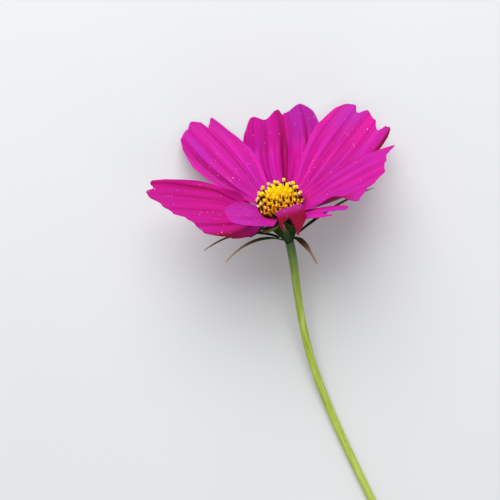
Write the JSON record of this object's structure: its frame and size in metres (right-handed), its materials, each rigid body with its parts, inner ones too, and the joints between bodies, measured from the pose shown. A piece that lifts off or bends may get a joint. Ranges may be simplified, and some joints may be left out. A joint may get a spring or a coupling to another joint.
{
  "type": "cosmos flower",
  "caption": "Picked single cosmos bloom with magenta ray petals, a domed yellow disc and green bracts, lying on a surface on its back petals and cut stem",
  "frame": {"origin": "On the surface the flower lies on, at the middle of its bounding box seen from above", "axes": "+Z up from the surface; +Y from the cut end of the stem towards the bloom; +X across the bloom, to the right when looking down with +Y up"},
  "size_m": [0.076, 0.1354, 0.0442],
  "materials": {
    "petal": "thin satin petal, vivid magenta with fine lengthwise veins and pleats, paler violet where it catches the light",
    "bract": "thin green leaf tissue, reddish brown towards the tips",
    "receptacle": "dark green leaf tissue",
    "stem": "smooth yellow-green stem with fine lengthwise ridges",
    "disc_floret": "yellow floret with a dark maroon anther column and a knob of pale yellow pollen"
  },
  "bodies": {
    "root": {"petal_back": "petal", "petal_back_right": "petal", "petal_right": "petal", "petal_front_right": "petal", "petal_front": "petal", "petal_front_left": "petal", "petal_left": "petal", "petal_back_left": "petal", "outer_bract_right": "bract", "outer_bract_back_right": "bract", "outer_bract_back": "bract", "outer_bract_back_left": "bract", "outer_bract_left": "bract", "outer_bract_front_left": "bract", "outer_bract_front": "bract", "outer_bract_front_right": "bract", "inner_bract_1": "bract", "inner_bract_2": "bract", "inner_bract_3": "bract", "inner_bract_4": "bract", "inner_bract_5": "bract", "inner_bract_6": "bract", "inner_bract_7": "bract", "inner_bract_8": "bract", "receptacle": "receptacle", "stem": "stem", "disc_middle": "disc_floret", "floret_01": "disc_floret", "floret_02": "disc_floret", "floret_03": "disc_floret", "floret_04": "disc_floret", "floret_05": "disc_floret", "floret_06": "disc_floret", "floret_07": "disc_floret", "floret_08": "disc_floret", "floret_09": "disc_floret", "floret_10": "disc_floret", "floret_11": "disc_floret", "floret_12": "disc_floret", "floret_13": "disc_floret", "floret_14": "disc_floret", "floret_15": "disc_floret", "floret_16": "disc_floret", "floret_17": "disc_floret", "floret_18": "disc_floret", "floret_19": "disc_floret", "floret_20": "disc_floret", "floret_21": "disc_floret", "floret_22": "disc_floret", "floret_23": "disc_floret", "floret_24": "disc_floret", "floret_25": "disc_floret", "floret_26": "disc_floret", "floret_27": "disc_floret", "floret_28": "disc_floret", "floret_29": "disc_floret", "floret_30": "disc_floret", "floret_31": "disc_floret", "floret_32": "disc_floret"}
  },
  "joints": []
}
